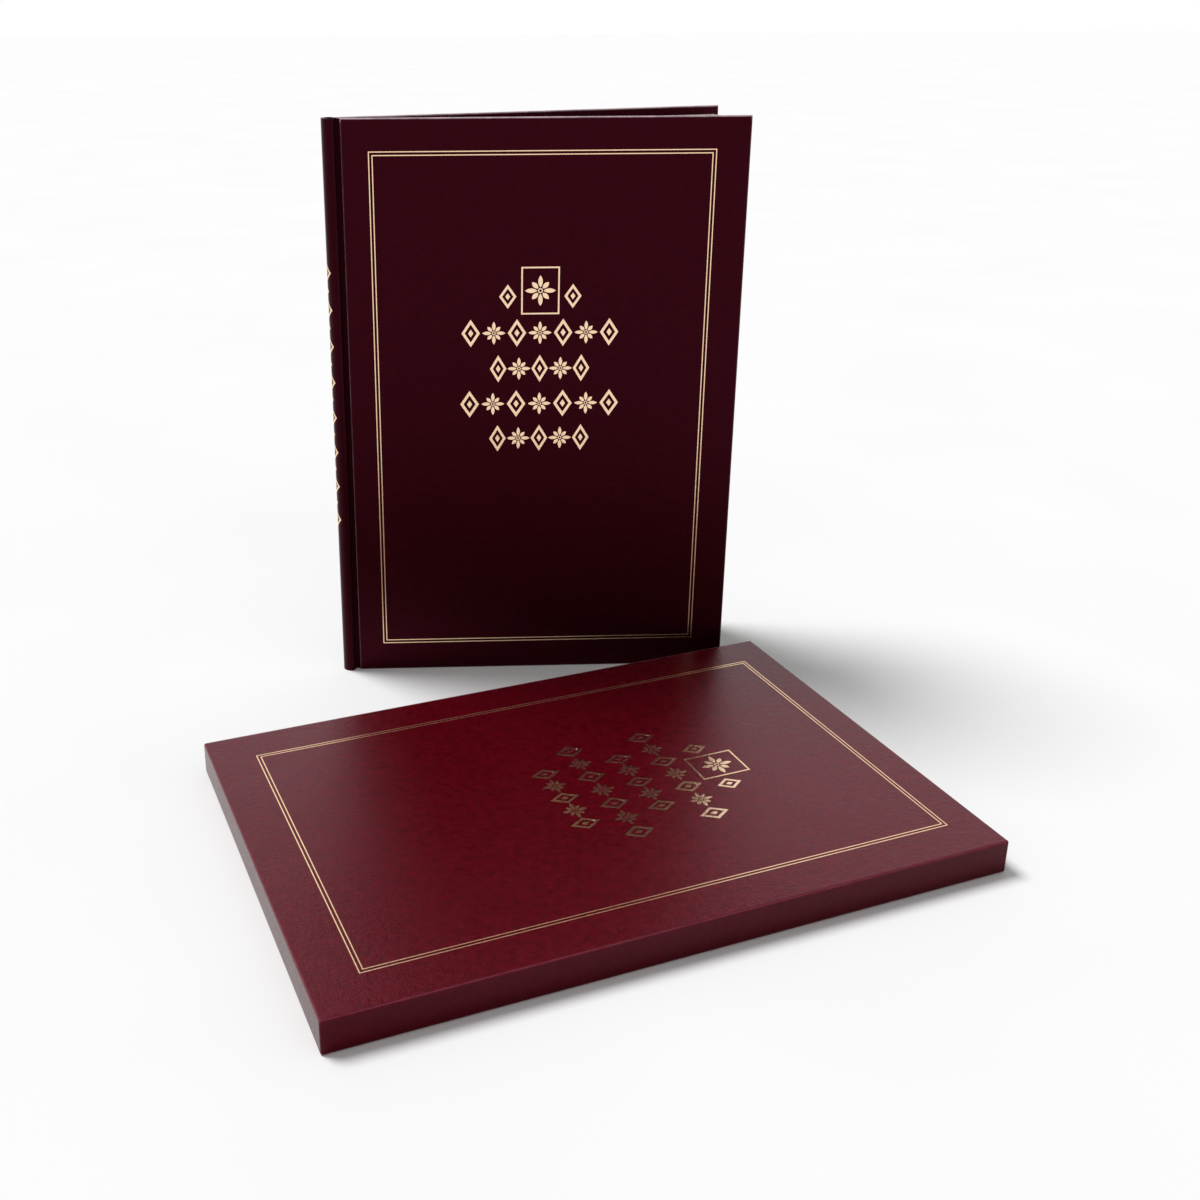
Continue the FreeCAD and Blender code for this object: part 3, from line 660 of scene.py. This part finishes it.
def solid_boxes(name, place):
    """Low and high corner of each separate solid of a node, seen in one frame."""
    inverse = place.inverted()
    solids = bmesh.new()
    solids.from_mesh(nodes[name].data)
    bmesh.ops.remove_doubles(solids, verts=solids.verts[:], dist=1e-6)
    waiting = set(solids.verts)
    boxes = []
    while waiting:
        group = [waiting.pop()]
        for vert in group:
            for edge in vert.link_edges:
                other = edge.other_vert(vert)
                if other in waiting:
                    waiting.remove(other)
                    group.append(other)
        points = [inverse @ vert.co for vert in group]
        low = [min(p[axis] for p in points) for axis in range(3)]
        high = [max(p[axis] for p in points) for axis in range(3)]
        boxes.append((low, high))
    solids.free()
    return sorted(boxes, key=lambda box: (round(-box[0][1], 5), round(box[0][0], 5)))


def hills(x, y, width, height):
    """Two rolling hills across the foot of a picture."""
    count = 16
    points = [(x - width / 2, y - height / 2), (x + width / 2, y - height / 2)]
    for k in range(count + 1):
        share = 1 - k / count
        rise = 0.30 + 0.14 * math.sin(7.0 * share + 0.6) + 0.05 * math.sin(15.0 * share)
        points.append((x + (share - 0.5) * width, y + (rise - 0.5) * height))
    return points


INKS = [blue_ink, red_ink, green_ink, ochre_ink]
PERFORATION = 1.9 * MM
MARGIN = 1.9 * MM
STAMP_INK = 0.002 * MM

# Shares of the printed ground of a stamp
PICTURE = 0.94
DISC_ACROSS = 0.20
DISC_UP = 0.22
DISC_RADIUS = 0.11
PICTURE_FLOWER = 0.40
LATTICE_PITCH = 0.29
LATTICE_LOZENGE = 0.22


def stamp_picture(style, x, y, width, height):
    """A plain picture of one of three kinds: hills and a sun, a flower, or a lattice."""
    small = min(width, height)
    if style == 0:
        disc = circle(x + width * DISC_ACROSS, y + height * DISC_UP, small * DISC_RADIUS)
        return [hills(x, y, width, height), disc]
    if style == 1:
        return flower(x, y, small * PICTURE_FLOWER)
    loops = []
    for i in (-1, 0, 1):
        for j in (-1, 0, 1):
            middle = (x + i * width * LATTICE_PITCH, y + j * height * LATTICE_PITCH)
            loops += diamond(*middle, width * LATTICE_LOZENGE, height * LATTICE_LOZENGE)
    return loops


def stamps(number, place, boxes):
    """Perforated stamps in place of the plain solids of one leaf, with a printed picture on each."""
    paper_loops = []
    grounds = {ink.name: [] for ink in INKS}
    pictures = []
    for order, (low, high) in enumerate(boxes):
        x, y = (low[0] + high[0]) / 2, (low[1] + high[1]) / 2
        width, height = high[0] - low[0], high[1] - low[1]
        paper_loops.append(perforated(x, y, width, height, PERFORATION))
        inner = (width - 2 * MARGIN, height - 2 * MARGIN)
        ink = INKS[(order + number) % len(INKS)]
        grounds[ink.name].append(rectangle(x, y, *inner))
        style = (order // 2 + number) % 3
        pictures += stamp_picture(style, x, y, inner[0] * PICTURE, inner[1] * PICTURE)
    paper_face = STAMP_FACE - 2 * STAMP_INK
    ground_face = STAMP_FACE - STAMP_INK
    layers = [(stamp_paper, paper_loops, STAMP_BACK, paper_face)]
    for ink in INKS:
        if grounds[ink.name]:
            layers.append((ink, grounds[ink.name], paper_face, ground_face))
    layers.append((pale_ink, pictures, ground_face, STAMP_FACE))
    item = piece("stamps_%d_perforated" % number, "leaf_%d" % number, place, layers)
    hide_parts("stamps_%d" % number)


# Page print. Border rules are inset and weight, and captions are drop and share of the stamp's width.
PAGE_SHIFT = 4.0 * MM
PAGE_SIDES = 26.0 * MM
PAGE_ENDS = 22.0 * MM
BORDER_RULES = [(0.0, 0.7 * MM), (1.8 * MM, 0.3 * MM)]
HEADING_DROP = 14.0 * MM
HEADING_LOZENGE = (9.0 * MM, 6.0 * MM)
HEADING_RULE = (42.0 * MM, 0.5 * MM)
HEADING_RULE_REACH = 30.0 * MM
HEADING_DOT = (2.8 * MM, 2.8 * MM)
HEADING_DOT_REACH = 54.0 * MM
CAPTIONS = [(4.0 * MM, 0.7), (6.2 * MM, 0.5)]
CAPTION_WEIGHT = 0.8 * MM
PAGE_INK = 0.004 * MM


def page_print(number, place, boxes):
    """Border, heading ornament and caption rules printed on one page."""
    low, high = solid_boxes("leaf_%d" % number, place)[0]
    x, y = (low[0] + high[0]) / 2 + PAGE_SHIFT, (low[1] + high[1]) / 2
    width, height = high[0] - low[0] - PAGE_SIDES, high[1] - low[1] - PAGE_ENDS
    lines = []
    for inset, weight in BORDER_RULES:
        for step in (inset, inset + weight):
            lines.append(rectangle(x, y, width - 2 * step, height - 2 * step))
    heading = y + height / 2 - HEADING_DROP
    lines += diamond(x, heading, *HEADING_LOZENGE)
    for side in (-1, 1):
        lines.append(rectangle(x + side * HEADING_RULE_REACH, heading, *HEADING_RULE))
        lines.append(lozenge(x + side * HEADING_DOT_REACH, heading, *HEADING_DOT))
    captions = []
    for box_low, box_high in boxes:
        middle = (box_low[0] + box_high[0]) / 2
        span = box_high[0] - box_low[0]
        for drop, share in CAPTIONS:
            captions.append(rectangle(middle, box_low[1] - drop, span * share, CAPTION_WEIGHT))
    layers = [(red_ink, lines, LEAF_FACE, LEAF_FACE + PAGE_INK),
              (grey_ink, captions, LEAF_FACE, LEAF_FACE + PAGE_INK)]
    piece("page_print_%d" % number, "leaf_%d" % number, place, layers)


for number in numbers:
    leaf_place = leaf_frame(number)
    stamp_boxes = solid_boxes("stamps_%d" % number, leaf_place)
    stamps(number, leaf_place, stamp_boxes)
    page_print(number, leaf_place, stamp_boxes)


# Stage: a pale floor, a white surround and one broad soft light from the upper left, a little behind
FLOOR_DROP = 0.05 * MM
SUN_FROM = (-0.75, 0.40, 1.5)
SUN_STRENGTH = 2.4
SUN_SPREAD = 24.0


def floor(reach=8.0):
    mesh = bpy.data.meshes.new("floor")
    mesh.from_pydata([(x, y, 0) for x, y in rectangle(0, 0, 2 * reach, 2 * reach)], [], [(0, 1, 2, 3)])
    shader = Shader("floor")
    shader.feed("Base Color", shader.ramp(shader.noise(6.0), (0.93, 0.93, 0.93), (0.95, 0.95, 0.95)))
    shader.fixed("Roughness", 0.9)
    shader.fixed("Specular IOR Level", 0.0)
    mesh.materials.append(shader.material)
    item = bpy.data.objects.new("floor", mesh)
    item.location = (0, 0, -FLOOR_DROP)
    bpy.context.scene.collection.objects.link(item)


def surround(ambient=0.38):
    """White where it is seen, directly or in a gloss, and softer as a light."""
    world = bpy.data.worlds.new("surround")
    bpy.context.scene.world = world
    world.use_nodes = True
    tree = world.node_tree
    rays = tree.nodes.new("ShaderNodeLightPath")
    seen = rays.outputs["Is Camera Ray"]
    for name in ("Is Glossy Ray", "Is Transmission Ray"):
        item = tree.nodes.new("ShaderNodeMath")
        item.operation = "MAXIMUM"
        tree.links.new(seen, item.inputs[0])
        tree.links.new(rays.outputs[name], item.inputs[1])
        seen = item.outputs["Value"]
    strength = tree.nodes.new("ShaderNodeMapRange")
    strength.inputs["To Min"].default_value = ambient
    tree.links.new(seen, strength.inputs["Value"])
    background = tree.nodes["Background"]
    background.inputs["Color"].default_value = (1, 1, 1, 1)
    tree.links.new(strength.outputs["Result"], background.inputs["Strength"])


def soft_sun(direction, strength, spread):
    light = bpy.data.lights.new("soft_sun", "SUN")
    light.energy = strength
    light.angle = math.radians(spread)
    item = bpy.data.objects.new("soft_sun", light)
    item.rotation_euler = Vector(direction).to_track_quat("Z", "Y").to_euler()
    bpy.context.scene.collection.objects.link(item)


floor()
surround()
soft_sun(SUN_FROM, SUN_STRENGTH, SUN_SPREAD)


# Camera, fitted to the corners of the covers and the slipcase in an image 1200 pixels square
IMAGE = 1200.0
FOCAL, MIDDLE_X, MIDDLE_Y = 1432.0, 483.0, 519.0
EYE = Vector((-58.96, -736.42, 375.56)) * MM
YAW, PITCH, ROLL = math.radians(2.04), math.radians(21.15), math.radians(-0.23)


def camera():
    data = bpy.data.cameras.new("camera")
    data.sensor_width = 36.0
    data.lens = FOCAL / IMAGE * data.sensor_width
    data.shift_x = 0.5 - MIDDLE_X / IMAGE
    data.shift_y = MIDDLE_Y / IMAGE - 0.5
    data.clip_start = 0.01
    item = bpy.data.objects.new("camera", data)
    aim = Matrix.Rotation(-YAW, 4, "Z") @ Matrix.Rotation(math.pi / 2 - PITCH, 4, "X")
    item.matrix_world = Matrix.Translation(EYE) @ aim @ Matrix.Rotation(ROLL, 4, "Z")
    bpy.context.scene.collection.objects.link(item)
    bpy.context.scene.camera = item


camera()
bpy.context.scene.view_settings.view_transform = "Standard"
